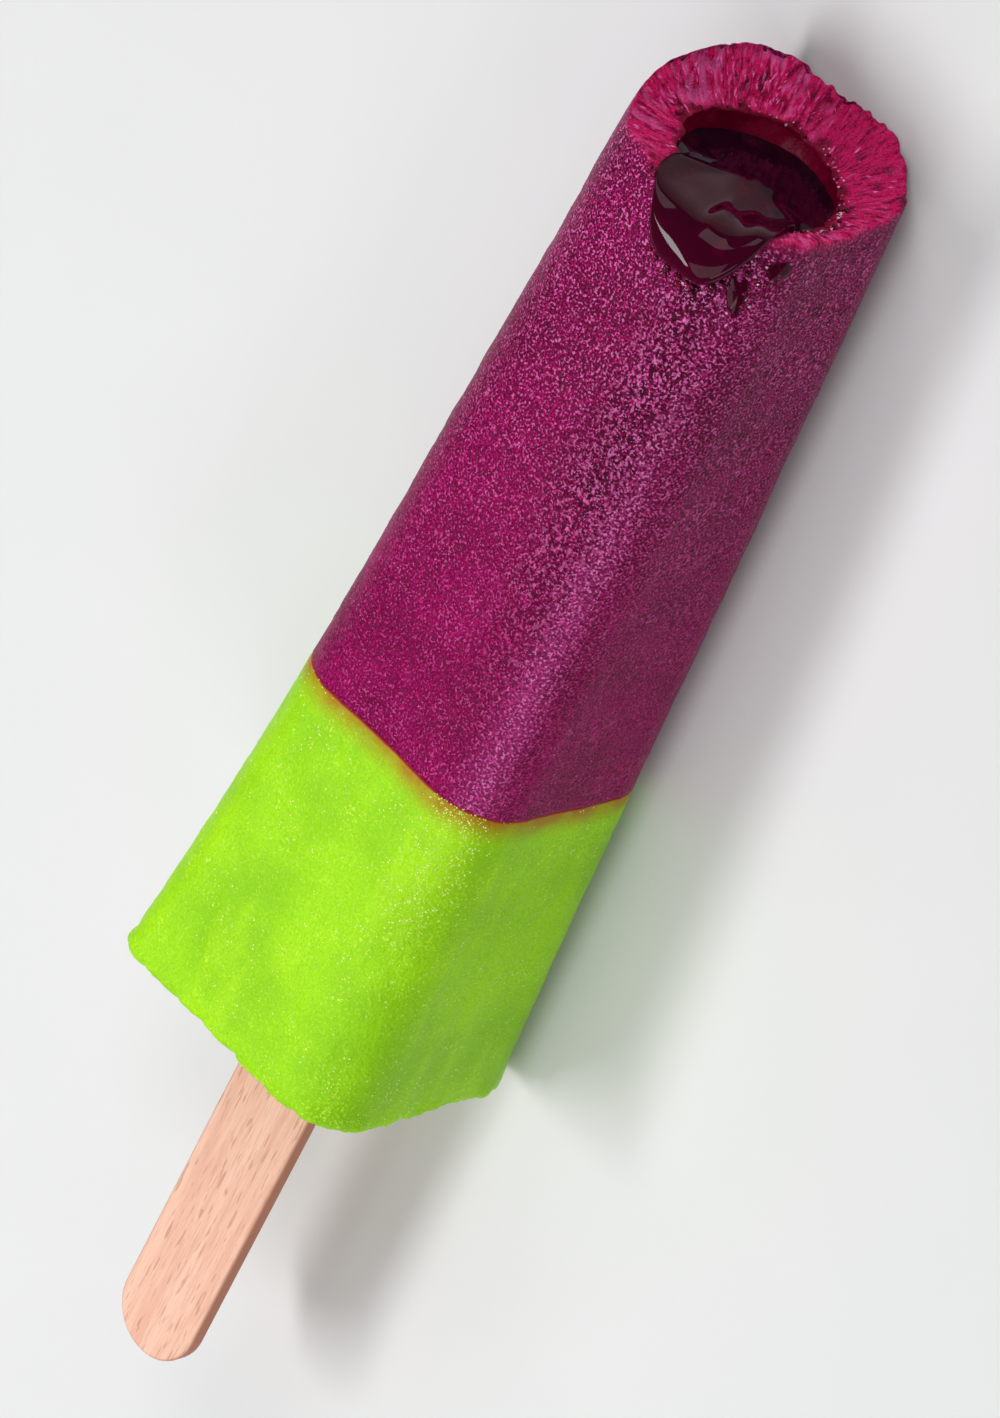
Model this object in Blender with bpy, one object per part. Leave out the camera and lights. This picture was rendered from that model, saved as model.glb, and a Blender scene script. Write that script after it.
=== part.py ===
"""A bitten ice lolly: berry ice over lime ice, a berry sauce core and a wooden stick.

The lolly lies on its back face with its tip along +X and its front face up. Every
shape is worked out first in the lolly's own terms: a place is an angle around the
axis, a distance from the axis, and a height t along the axis, with t = 0 where the
ice meets the bare stick. to_world() then lays it down on its back face.
"""

import math

import bmesh
import bpy
from mathutils import Matrix, Vector

MM = 0.001

# Moulded ice: a square section with round corners that narrows towards the tip.
BASE_WIDTH = 30.1 * MM
BASE_DEPTH = 29.6 * MM
TIP_WIDTH = 22.7 * MM
TIP_DEPTH = 23.0 * MM
TAPER_LENGTH = 100.0 * MM
BASE_CORNER = 6.5 * MM
SHARP_BASE_CORNER = 2.5 * MM
TIP_CORNER = 7.1 * MM
CORNER_GROWTH = 4.9
BASE_FILLET = 1.0 * MM
LIME_HEIGHT = 36.8 * MM

# The bite: how high its edge stands, by direction around the axis in degrees
# (0 is the lolly's right side, 90 its front), and where it opens the core.
BITE_EDGE = (
    (0, 100.3), (20, 99.8), (47, 99.6), (60, 97.0), (85, 97.0), (97, 98.0), (104, 99.0),
    (114, 99.6), (130, 100.0), (138, 100.9), (150, 102.8), (165, 104.7), (195, 105.4),
    (222, 105.4), (248, 104.9), (275, 105.5), (287, 105.3), (300, 104.3), (310, 103.0),
    (322, 101.9), (345, 101.2),
)
OPENING_EDGE = (
    (0, 98.9), (30, 98.4), (60, 96.6), (88, 96.6), (112, 98.4), (128, 99.2), (150, 100.6),
    (200, 101.0), (250, 100.6), (290, 100.2), (320, 99.3),
)
OPENING_RADIUS = 7.7 * MM
OPENING_UNEVENNESS = 0.25 * MM
OPENING_BAY = 0.9 * MM
OPENING_BAY_DIRECTION = math.radians(245)
OPENING_BAY_WIDTH = math.radians(24)
BITE_HOLLOW = 1.5
CREST_DIRECTION = math.radians(250)
CREST_WIDTH = math.radians(7)
CREST_HEIGHT = 0.7 * MM

# The core that holds the sauce, and the sauce in it.
CORE_TOP_RADIUS = 7.2 * MM
CORE_LOW_RADIUS = 7.9 * MM
CORE_ROUNDING = 9.0 * MM
CORE_BOTTOM = 53.0 * MM
CORE_THROAT = 3.0 * MM
SAUCE_LEVEL = 98.7 * MM
DRIP_TIP = 93.6 * MM
# How far the sauce has run, by direction: 0 its level on the core's wall,
# 1 the edge of the opening, 2 the edge of the bite, 3 the tip of the drip.
SAUCE_REACH = (
    (0, 0.75), (15, 1.0), (30, 1.3), (39, 1.7), (44, 2.0), (48.5, 2.5), (52, 2.75), (58, 2.96),
    (67, 3.0), (77, 2.94), (88, 2.65), (93, 2.3), (102, 2.15), (112, 1.9), (122, 1.3),
    (135, 0.6), (152, 0.12), (240, 0.12), (325, 0.12),
)
SAUCE_SKIN = 0.8 * MM
DRIP_THICKNESS = 1.9 * MM
DRIP_MIDDLE = math.radians(70)
DRIP_SPREAD = math.radians(27)
SAUCE_ROWS = (0.9, 0.8, 0.72, 0.64, 0.57, 0.5, 0.43, 0.36, 0.29, 0.22, 0.15, 0.09, 0.04)

# Stick: a flat stick with round ends.
STICK_LENGTH = 93.0 * MM
STICK_BARE = 43.0 * MM
STICK_WIDTH = 10.0 * MM
STICK_THICKNESS = 1.8 * MM
STICK_EASE = 0.25 * MM
STICK_OFFSET = 0.4 * MM

GAP = 0.3 * MM
SEGMENTS = 72
CORNER_CROWDING = 0.45

HIGHEST_EDGE = max(height for _, height in BITE_EDGE) * MM
MIDDLE = (HIGHEST_EDGE - STICK_BARE) / 2
BACK_SLOPE = math.atan((BASE_DEPTH - TIP_DEPTH) / 2 / TAPER_LENGTH)

FINISHES = {
    "berry_ice": ((0.30, 0.012, 0.10, 1.0), 0.35),
    "lime_ice": ((0.38, 0.75, 0.02, 1.0), 0.35),
    "berry_sauce": ((0.10, 0.002, 0.02, 1.0), 0.08),
    "stick": ((0.75, 0.42, 0.27, 1.0), 0.6),
}


def mix(low, high, share):
    """Return the value that lies a share of the way from low to high."""
    return low + (high - low) * share


def clamp(value, low=0.0, high=1.0):
    """Return value kept between low and high."""
    return max(low, min(high, value))


def smooth(share):
    """Return a share from 0 to 1 with an eased start and end."""
    share = clamp(share)
    return share * share * (3 - 2 * share)


def around(stops, angle):
    """Return the value at an angle on a closed smooth curve through (degrees, value) stops.

    The curve never swings past its stops: its slope is 0 at each highest and lowest one.
    """
    degrees = math.degrees(angle) % 360
    count = len(stops)
    places = [stop[0] for stop in stops]
    below = max((i for i in range(count) if places[i] <= degrees), default=count - 1)

    def span(i):
        return (places[(i + 1) % count] - places[i % count]) % 360

    def rise(i):
        return (stops[(i + 1) % count][1] - stops[i % count][1]) / span(i)

    def slope(i):
        before, after = rise((i - 1) % count), rise(i % count)
        return 0.0 if before * after <= 0 else 2 * before * after / (before + after)

    width = span(below)
    share = ((degrees - places[below]) % 360) / width
    start, end = stops[below][1], stops[(below + 1) % count][1]
    leave, arrive = slope(below) * width, slope(below + 1) * width
    square, cube = share ** 2, share ** 3
    return (
        start * (2 * cube - 3 * square + 1)
        + leave * (cube - 2 * square + share)
        + end * (3 * square - 2 * cube)
        + arrive * (cube - square)
    )


def directions():
    """Return the loft's angles, closer together at the section's corners."""
    even = [2 * math.pi * step / SEGMENTS for step in range(SEGMENTS)]
    return [angle + CORNER_CROWDING / 4 * math.sin(4 * angle) for angle in even]


def skin_radius(angle, t, inset=0.0):
    """Return the distance from the axis to the moulded outside, less an inset."""
    share = t / TAPER_LENGTH
    half_width = mix(BASE_WIDTH, TIP_WIDTH, share) / 2 - inset
    half_depth = mix(BASE_DEPTH, TIP_DEPTH, share) / 2 - inset
    growth = 1 - (1 - clamp(share)) ** CORNER_GROWTH
    sharp = math.cos(angle) < 0 < math.sin(angle)
    corner = mix(SHARP_BASE_CORNER if sharp else BASE_CORNER, TIP_CORNER, growth) - inset
    across, out = abs(math.cos(angle)), abs(math.sin(angle))
    flat_width, flat_depth = half_width - corner, half_depth - corner
    if out * half_width <= across * flat_depth:
        return half_width / across
    if across * half_depth <= out * flat_width:
        return half_depth / out
    along = across * flat_width + out * flat_depth
    return along + math.sqrt(along ** 2 - flat_width ** 2 - flat_depth ** 2 + corner ** 2)


def bite_edge(angle):
    """Return the height of the bite's outer edge."""
    return around(BITE_EDGE, angle) * MM


def turn_from(angle, direction):
    """Return the signed turn from a direction to an angle, within half a circle."""
    return (angle - direction + math.pi) % (2 * math.pi) - math.pi


def opening(angle):
    """Return the distance and height of the edge where the bite opens the core."""
    uneven = OPENING_UNEVENNESS * (math.sin(3 * angle + 0.6) + 0.5 * math.sin(7 * angle))
    turn = turn_from(angle, OPENING_BAY_DIRECTION)
    bay = OPENING_BAY * math.exp(-(turn / OPENING_BAY_WIDTH) ** 2)
    return OPENING_RADIUS + uneven + bay, around(OPENING_EDGE, angle) * MM


def bite_height(angle, share):
    """Return the height of the bitten face, from the opening (0) to the outer edge (1)."""
    share = clamp(share)
    turn = turn_from(angle, CREST_DIRECTION)
    crest = CREST_HEIGHT * math.exp(-(turn / CREST_WIDTH) ** 2) * 4 * share * (1 - share)
    return mix(opening(angle)[1], bite_edge(angle), share ** BITE_HOLLOW) + crest


def core_radius(angle, t):
    """Return the radius of the core's wall at height t."""
    edge_radius, edge_height = opening(angle)
    start = CORE_BOTTOM + CORE_ROUNDING
    radius = mix(CORE_LOW_RADIUS, CORE_TOP_RADIUS, clamp((t - start) / (SAUCE_LEVEL - start)))
    if t < start:
        radius *= math.sqrt(max(0.0, 1 - ((start - t) / CORE_ROUNDING) ** 2))
    return mix(edge_radius, radius, smooth((edge_height - t) / CORE_THROAT))


def to_world(angle, radius, t):
    """Return the world place of an angle, a distance from the axis and a height."""
    right, front = radius * math.cos(angle), radius * math.sin(angle)
    laid = Matrix.Rotation(BACK_SLOPE, 3, "Y") @ Vector((t - MIDDLE, -right, front))
    back = Vector((-MIDDLE, 0, -BASE_DEPTH / 2))
    return laid - Vector((0, 0, (Matrix.Rotation(BACK_SLOPE, 3, "Y") @ back).z))


def loft(name, rings, collection):
    """Make one closed object from rings of places; a ring of one place is a pole."""
    mesh_data = bmesh.new()
    rows = [[mesh_data.verts.new(place) for place in ring] for ring in rings]
    for low, high in zip(rows, rows[1:]):
        count = max(len(low), len(high))
        for i in range(count):
            corners = [low[i % len(low)], low[(i + 1) % len(low)]]
            corners += [high[(i + 1) % len(high)], high[i % len(high)]]
            mesh_data.faces.new(list(dict.fromkeys(corners)))
    for row in (rows[0], rows[-1]):
        if len(row) > 1:
            mesh_data.faces.new(row)
    bmesh.ops.recalc_face_normals(mesh_data, faces=mesh_data.faces)
    mesh = bpy.data.meshes.new(name)
    mesh_data.to_mesh(mesh)
    mesh_data.free()
    made = bpy.data.objects.new(name, mesh)
    collection.objects.link(made)
    return made


def cut(target, cutter):
    """Cut one object's shape out of another."""
    step = target.modifiers.new("cut_" + cutter.name, "BOOLEAN")
    step.operation = "DIFFERENCE"
    step.solver = "EXACT"
    step.object = cutter
    bpy.context.view_layer.update()
    evaluated = target.evaluated_get(bpy.context.evaluated_depsgraph_get())
    result = bpy.data.meshes.new_from_object(evaluated)
    target.modifiers.remove(step)
    target.data = result


def ring_at(height_at, radius_at):
    """Return a ring of places whose height and distance are functions of the angle."""
    return [
        to_world(angle, radius_at(angle, height_at(angle)), height_at(angle))
        for angle in directions()
    ]


def make_berry_ice(name, collection, grow=0.0):
    """Make the upper ice, with its bitten face and the core's hollow.

    Args:
        name: The object's name.
        collection: The collection that it goes in.
        grow: How far every surface stands proud, for a cutter that leaves a gap.
    """
    bottom = LIME_HEIGHT + GAP / 2 - grow

    def skin_height(angle, share):
        return mix(bottom, bite_edge(angle) + grow, share)

    def bite_place(angle, share):
        edge_radius = opening(angle)[0] - grow
        outer = skin_radius(angle, bite_edge(angle), -grow)
        height = bite_height(angle, share) + grow
        return to_world(angle, mix(edge_radius, outer, share), height)

    def throat_place(angle, depth):
        t = opening(angle)[1] - depth
        return to_world(angle, core_radius(angle, t) - grow, t)

    rings = [[to_world(0, 0, bottom)]]
    for share in (0, 0.12, 0.3, 0.5, 0.75, 1):
        rings.append(
            ring_at(lambda a, s=share: skin_height(a, s), lambda a, t: skin_radius(a, t, -grow))
        )
    for share in (0.85, 0.65, 0.45, 0.22, 0):
        rings.append([bite_place(angle, share) for angle in directions()])
    for depth in (0.8 * MM, 2 * MM, 3.5 * MM):
        rings.append([throat_place(angle, depth) for angle in directions()])
    core_low = CORE_BOTTOM + CORE_ROUNDING
    for t in (80 * MM, core_low):
        rings.append([to_world(a, core_radius(a, t) - grow, t) for a in directions()])
    for turn in (30, 55, 75):
        drop = (CORE_ROUNDING - grow) * math.sin(math.radians(turn))
        narrow = (CORE_LOW_RADIUS - grow) * math.cos(math.radians(turn))
        rings.append([to_world(angle, narrow, core_low - drop) for angle in directions()])
    rings.append([to_world(0, 0, CORE_BOTTOM + grow)])
    return loft(name, rings, collection)


def make_lime_ice(collection):
    """Make the lower ice, with its rounded base edge."""
    top = LIME_HEIGHT - GAP / 2
    rings = [[to_world(0, 0, 0)]]
    for turn in (0, 30, 60, 90):
        inset = BASE_FILLET * (1 - math.sin(math.radians(turn)))
        t = BASE_FILLET * (1 - math.cos(math.radians(turn)))
        rings.append([to_world(a, skin_radius(a, t, inset), t) for a in directions()])
    for t in (6 * MM, 16 * MM, top):
        rings.append([to_world(a, skin_radius(a, t), t) for a in directions()])
    rings.append([to_world(0, 0, top)])
    return loft("lime_ice", rings, collection)


def sauce_path(angle, reach):
    """Return the distance, height and facing of the ice where the sauce has run to."""
    edge_radius, edge_height = opening(angle)
    rim = bite_edge(angle)
    rim_radius = skin_radius(angle, rim)
    if reach <= 1:
        t = mix(min(SAUCE_LEVEL, edge_height), edge_height + GAP, reach)
        radius = core_radius(angle, min(t, edge_height)) - GAP
    elif reach <= 2:
        share = reach - 1
        radius = mix(edge_radius - GAP, rim_radius + GAP, share)
        t = bite_height(angle, share) + GAP
    else:
        t = mix(rim + GAP, DRIP_TIP, reach - 2)
        radius = skin_radius(angle, t) + GAP
    facing = mix(180, 90, smooth((reach - 0.7) / 0.6)) - 90 * smooth((reach - 1.7) / 0.6)
    return radius, t, math.radians(facing)


def sauce_guides(angle):
    """Return the points that shape the sauce's surface, from where it ends to the middle."""
    reach = around(SAUCE_REACH, angle)
    turn = turn_from(angle, DRIP_MIDDLE)
    drip = max(0.0, 1 - (turn / DRIP_SPREAD) ** 2) ** 0.5
    thickness = mix(SAUCE_SKIN, DRIP_THICKNESS, drip)
    lip, low = min(reach, 2), min(reach, 1) ** 2
    over = (
        (reach, 0), (mix(reach, low, 0.05), 0.7), (mix(reach, lip, 0.5), 1.15), (lip, 1.2),
        (mix(lip, low, 0.5), 1), (low, 1),
    )
    pool_radius = core_radius(angle, SAUCE_LEVEL - CORE_THROAT) - GAP
    start_radius, start_height, _ = sauce_path(angle, reach)
    guides = []
    for step, (place, proud) in enumerate(over):
        radius, t, facing = sauce_path(angle, place)
        radius += thickness * proud * math.cos(facing)
        t += thickness * proud * math.sin(facing)
        flat = step / (len(over) + 2)
        level = SAUCE_LEVEL + (start_height - SAUCE_LEVEL) * (1 - flat) ** 6
        run = smooth(reach)
        guides.append((mix(start_radius * (1 - flat), radius, run), mix(level, t, run)))
    guides += [(pool_radius * share, SAUCE_LEVEL) for share in (0.55, 0.27, 0)]
    return guides


def sauce_surface(angle, share):
    """Return the distance and height of the sauce's open surface.

    Args:
        angle: The direction around the axis.
        share: 0 where the sauce ends on the ice, 1 in the middle of the core.
    """
    guides = sauce_guides(angle)
    guides = [guides[0]] * 2 + guides + [guides[-1]] * 2
    spans = len(guides) - 3
    span = min(int(share * spans), spans - 1)
    s = share * spans - span
    weights = (
        (1 - s) ** 3 / 6, (3 * s ** 3 - 6 * s ** 2 + 4) / 6,
        (-3 * s ** 3 + 3 * s ** 2 + 3 * s + 1) / 6, s ** 3 / 6,
    )
    near = guides[span:span + 4]
    return tuple(sum(w * point[i] for w, point in zip(weights, near)) for i in (0, 1))


def make_sauce(ice, collection):
    """Make the sauce: the core's filling and the part that has run over the bite's edge.

    It is lofted past the ice's surfaces, then cut by the ice grown by the gap.
    """
    rings = [[to_world(0, 0, SAUCE_LEVEL)]]
    for share in SAUCE_ROWS:
        rings.append([to_world(a, *sauce_surface(a, share)) for a in directions()])
    inside, deep, under = [], [], []
    for angle in directions():
        radius, t, facing = sauce_path(angle, around(SAUCE_REACH, angle))
        wall = (core_radius(angle, 90 * MM) + skin_radius(angle, 90 * MM)) / 2
        into = 1.0 * MM
        place = radius - into * math.cos(facing), t - into * math.sin(facing)
        inside.append(to_world(angle, *place))
        deep.append(to_world(angle, wall, min(place[1], 96 * MM) - 1.5 * MM))
        under.append(to_world(angle, wall, CORE_BOTTOM - 1 * MM))
    rings += [inside, deep, under, [to_world(0, 0, CORE_BOTTOM - 1 * MM)]]
    sauce = loft("berry_sauce", rings, collection)
    cut(sauce, ice)
    return sauce


def make_stick(name, collection, grow=0.0, ease=STICK_EASE):
    """Make the stick, or with grow a cutter for the slot that it stands in."""
    reach = STICK_WIDTH / 2 + grow
    straight = STICK_LENGTH - STICK_WIDTH
    steps = 14
    half = STICK_THICKNESS / 2 + grow

    def outline(inset, front):
        places = []
        for end, start_turn in ((straight, 0), (0, 180)):
            for step in range(steps + 1):
                turn = math.radians(start_turn + 180 * step / steps)
                t = STICK_WIDTH / 2 - STICK_BARE + end + (reach - inset) * math.sin(turn)
                right = (reach - inset) * math.cos(turn)
                height = front + STICK_OFFSET
                angle, radius = math.atan2(height, right), math.hypot(height, right)
                places.append(to_world(angle, radius, t))
        return places

    rings = [
        outline(ease, -half), outline(0, -half + ease), outline(0, half - ease), outline(ease, half),
    ]
    return loft(name, rings, collection)


def finish(made):
    """Give an object its own material."""
    colour, roughness = FINISHES[made.name]
    material = bpy.data.materials.new(made.name)
    material.use_nodes = True
    shader = material.node_tree.nodes["Principled BSDF"]
    shader.inputs["Base Color"].default_value = colour
    shader.inputs["Roughness"].default_value = roughness
    shader.inputs["Metallic"].default_value = 0.0
    made.data.materials.clear()
    made.data.materials.append(material)


def main():
    """Build the lolly."""
    for old in list(bpy.data.objects):
        bpy.data.objects.remove(old)
    lolly = bpy.data.collections.new("ice_lolly")
    cutters = bpy.data.collections.new("cutters")
    for collection in (lolly, cutters):
        bpy.context.scene.collection.children.link(collection)

    grown_ice = make_berry_ice("grown_ice", cutters, grow=GAP)
    slot = make_stick("stick_slot", cutters, grow=GAP, ease=0.05 * MM)
    for cutter in (grown_ice, slot):
        cutter.hide_render = True
        cutter.display_type = "WIRE"

    berry = make_berry_ice("berry_ice", lolly)
    lime = make_lime_ice(lolly)
    sauce = make_sauce(grown_ice, lolly)
    stick = make_stick("stick", lolly)
    for ice in (berry, lime):
        cut(ice, slot)
    for made in (berry, lime, sauce, stick):
        finish(made)


main()
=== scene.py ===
"""The looks of a bitten ice lolly: frosted berry ice over lime ice, a wet sauce core and a stick."""

import logging
import math
from collections.abc import Sequence
from dataclasses import dataclass, field
from enum import Enum
from itertools import product

import bmesh
import bpy
import numpy as np
from mathutils import Matrix, Vector


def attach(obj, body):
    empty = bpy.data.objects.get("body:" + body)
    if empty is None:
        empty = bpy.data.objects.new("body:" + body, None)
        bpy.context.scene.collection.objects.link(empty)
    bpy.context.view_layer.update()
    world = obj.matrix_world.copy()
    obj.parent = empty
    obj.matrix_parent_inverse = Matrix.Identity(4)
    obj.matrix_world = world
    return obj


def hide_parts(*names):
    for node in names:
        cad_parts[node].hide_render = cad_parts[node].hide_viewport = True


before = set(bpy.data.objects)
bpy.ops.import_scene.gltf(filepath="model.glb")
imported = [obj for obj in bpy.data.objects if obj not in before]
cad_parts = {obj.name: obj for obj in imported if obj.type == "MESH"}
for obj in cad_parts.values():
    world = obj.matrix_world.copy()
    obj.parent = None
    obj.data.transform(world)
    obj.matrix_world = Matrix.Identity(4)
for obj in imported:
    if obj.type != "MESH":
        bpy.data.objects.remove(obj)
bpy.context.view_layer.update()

MM = 0.001

log = logging.getLogger("ice_lolly")

Colour = tuple[float, float, float]
Stops = tuple[tuple[float, float], ...]


class Slot(Enum):
    """The record's material slots."""

    BERRY = "berry_ice"
    LIME = "lime_ice"
    SAUCE = "berry_sauce"
    STICK = "stick"


# ---------------------------------------------------------------- numbers and shapes


def smooth(share: np.ndarray | float) -> np.ndarray:
    """Return a share, kept from 0 to 1, with an eased start and end."""
    share = np.clip(share, 0.0, 1.0)
    return share * share * (3 - 2 * share)


def mix(low: np.ndarray | float, high: np.ndarray | float, share: np.ndarray | float) -> np.ndarray:
    """Return the value that lies a share of the way from low to high."""
    return low + (high - low) * share


def around(stops: Stops, angle: np.ndarray) -> np.ndarray:
    """Return the values at angles on a closed smooth curve through (degrees, value) stops.

    Args:
        stops: The places and values, by rising place.
        angle: The angles in radians.

    Returns:
        The curve's values, which never swing past its stops.
    """
    places = np.array([stop[0] for stop in stops], float)
    values = np.array([stop[1] for stop in stops], float)
    spans = (np.roll(places, -1) - places) % 360
    rises = (np.roll(values, -1) - values) / spans
    before = np.roll(rises, 1)
    together = before * rises > 0
    slopes = np.where(together, 2 * before * rises / np.where(together, before + rises, 1), 0.0)
    degrees = np.degrees(angle) % 360
    below = (np.searchsorted(places, degrees, side="right") - 1) % len(places)
    after = (below + 1) % len(places)
    width = spans[below]
    share = ((degrees - places[below]) % 360) / width
    square, cube = share ** 2, share ** 3
    return (
        values[below] * (2 * cube - 3 * square + 1)
        + slopes[below] * width * (cube - 2 * square + share)
        + values[after] * (3 * square - 2 * cube)
        + slopes[after] * width * (cube - square)
    )


def directions(count: int) -> np.ndarray:
    """Return evenly spaced angles, once around the axis."""
    return np.arange(count) * 2 * math.pi / count


def turn_from(angle: np.ndarray, direction: float) -> np.ndarray:
    """Return the signed turn from a direction to angles, within half a circle."""
    return (angle - direction + math.pi) % (2 * math.pi) - math.pi


def hump(angle: np.ndarray, direction: float, width: float) -> np.ndarray:
    """Return a smooth hump that is 1 in a direction and fades within a width of it."""
    return np.exp(-((turn_from(angle, direction) / width) ** 2))


def lumps(places: np.ndarray, size: float, seed: int) -> np.ndarray:
    """Return smooth noise from -1 to 1 at places.

    Args:
        places: The places, one a row, in metres.
        size: How far apart the lumps are, in metres.
        seed: Picks the pattern.

    Returns:
        One number for each place.
    """
    scaled = places / size
    cell = np.floor(scaled).astype(np.int64)
    part = scaled - cell
    part = part ** 3 * (part * (part * 6 - 15) + 10)
    total = np.zeros(places.shape[:-1])
    for corner in product((0, 1), repeat=3):
        knot = cell + np.array(corner)
        mixed = knot[..., 0] * 374761393 + knot[..., 1] * 668265263 + knot[..., 2] * 2147483647
        mixed = (mixed + seed * 974634777) & 0xFFFFFFFF
        mixed = ((mixed ^ (mixed >> 13)) * 1274126177) & 0xFFFFFFFF
        value = ((mixed ^ (mixed >> 16)) & 0xFFFF) / 32767.5 - 1
        total += value * np.prod(np.where(corner, part, 1 - part), axis=-1)
    return total


@dataclass(frozen=True)
class Mould:
    """The moulded bar, in the lolly's own terms: angle, distance from the axis and height."""

    base_width: float = 30.1 * MM
    base_depth: float = 29.6 * MM
    tip_width: float = 22.7 * MM
    tip_depth: float = 23.0 * MM
    taper_length: float = 100.0 * MM
    base_corner: float = 6.5 * MM
    sharp_base_corner: float = 2.5 * MM
    tip_corner: float = 7.1 * MM
    corner_growth: float = 4.9
    base_fillet: float = 1.0 * MM
    lime_height: float = 36.8 * MM
    bare_stick: float = 43.0 * MM
    highest_edge: float = 105.5 * MM

    def skin(self, angle: np.ndarray, t: np.ndarray, inset: np.ndarray | float = 0.0) -> np.ndarray:
        """Return the distance from the axis to the moulded outside.

        Args:
            angle: Directions around the axis; 0 is the right side and a quarter turn the front.
            t: Heights above the base.
            inset: How far inside the skin.

        Returns:
            The distances.
        """
        share = t / self.taper_length
        half_width = mix(self.base_width, self.tip_width, share) / 2 - inset
        half_depth = mix(self.base_depth, self.tip_depth, share) / 2 - inset
        growth = 1 - (1 - np.clip(share, 0, 1)) ** self.corner_growth
        sharp = (np.cos(angle) < 0) & (np.sin(angle) > 0)
        start = np.where(sharp, self.sharp_base_corner, self.base_corner)
        corner = mix(start, self.tip_corner, growth) - inset
        across, out = np.abs(np.cos(angle)), np.abs(np.sin(angle))
        flat_width, flat_depth = half_width - corner, half_depth - corner
        along = across * flat_width + out * flat_depth
        inner = along ** 2 - flat_width ** 2 - flat_depth ** 2 + corner ** 2
        rounded = along + np.sqrt(np.maximum(inner, 0))
        side = half_width / np.maximum(across, 1e-6)
        front = half_depth / np.maximum(out, 1e-6)
        on_front = across * half_depth <= out * flat_width
        on_side = out * half_width <= across * flat_depth
        return np.where(on_side, side, np.where(on_front, front, rounded))

    def place(self, angle: np.ndarray, radius: np.ndarray, t: np.ndarray) -> np.ndarray:
        """Return the world places of angles, distances from the axis and heights.

        Args:
            angle: Directions around the axis.
            radius: Distances from the axis.
            t: Heights above the base.

        Returns:
            An array whose last axis holds x, y and z.
        """
        slope = math.atan((self.base_depth - self.tip_depth) / 2 / self.taper_length)
        middle = (self.highest_edge - self.bare_stick) / 2
        angle, radius, t = np.broadcast_arrays(angle, radius, t)
        along, front = t - middle, radius * np.sin(angle)
        lift = middle * math.sin(slope) - self.base_depth / 2 * math.cos(slope)
        x = along * math.cos(slope) + front * math.sin(slope)
        z = front * math.cos(slope) - along * math.sin(slope) - lift
        return np.stack([x, -radius * np.cos(angle), z], axis=-1)

    def pole(self, t: float) -> np.ndarray:
        """Return the world place on the axis at a height, as an array of one row."""
        return self.place(np.zeros(1), np.zeros(1), np.full(1, t))

    def bare_place(self, right: float, front: float, t: float) -> Vector:
        """Return the world place of a point given right of and in front of the axis."""
        angle, radius = math.atan2(front, right), math.hypot(front, right)
        return Vector(self.place(np.array(angle), np.array(radius), np.array(t)))


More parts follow.
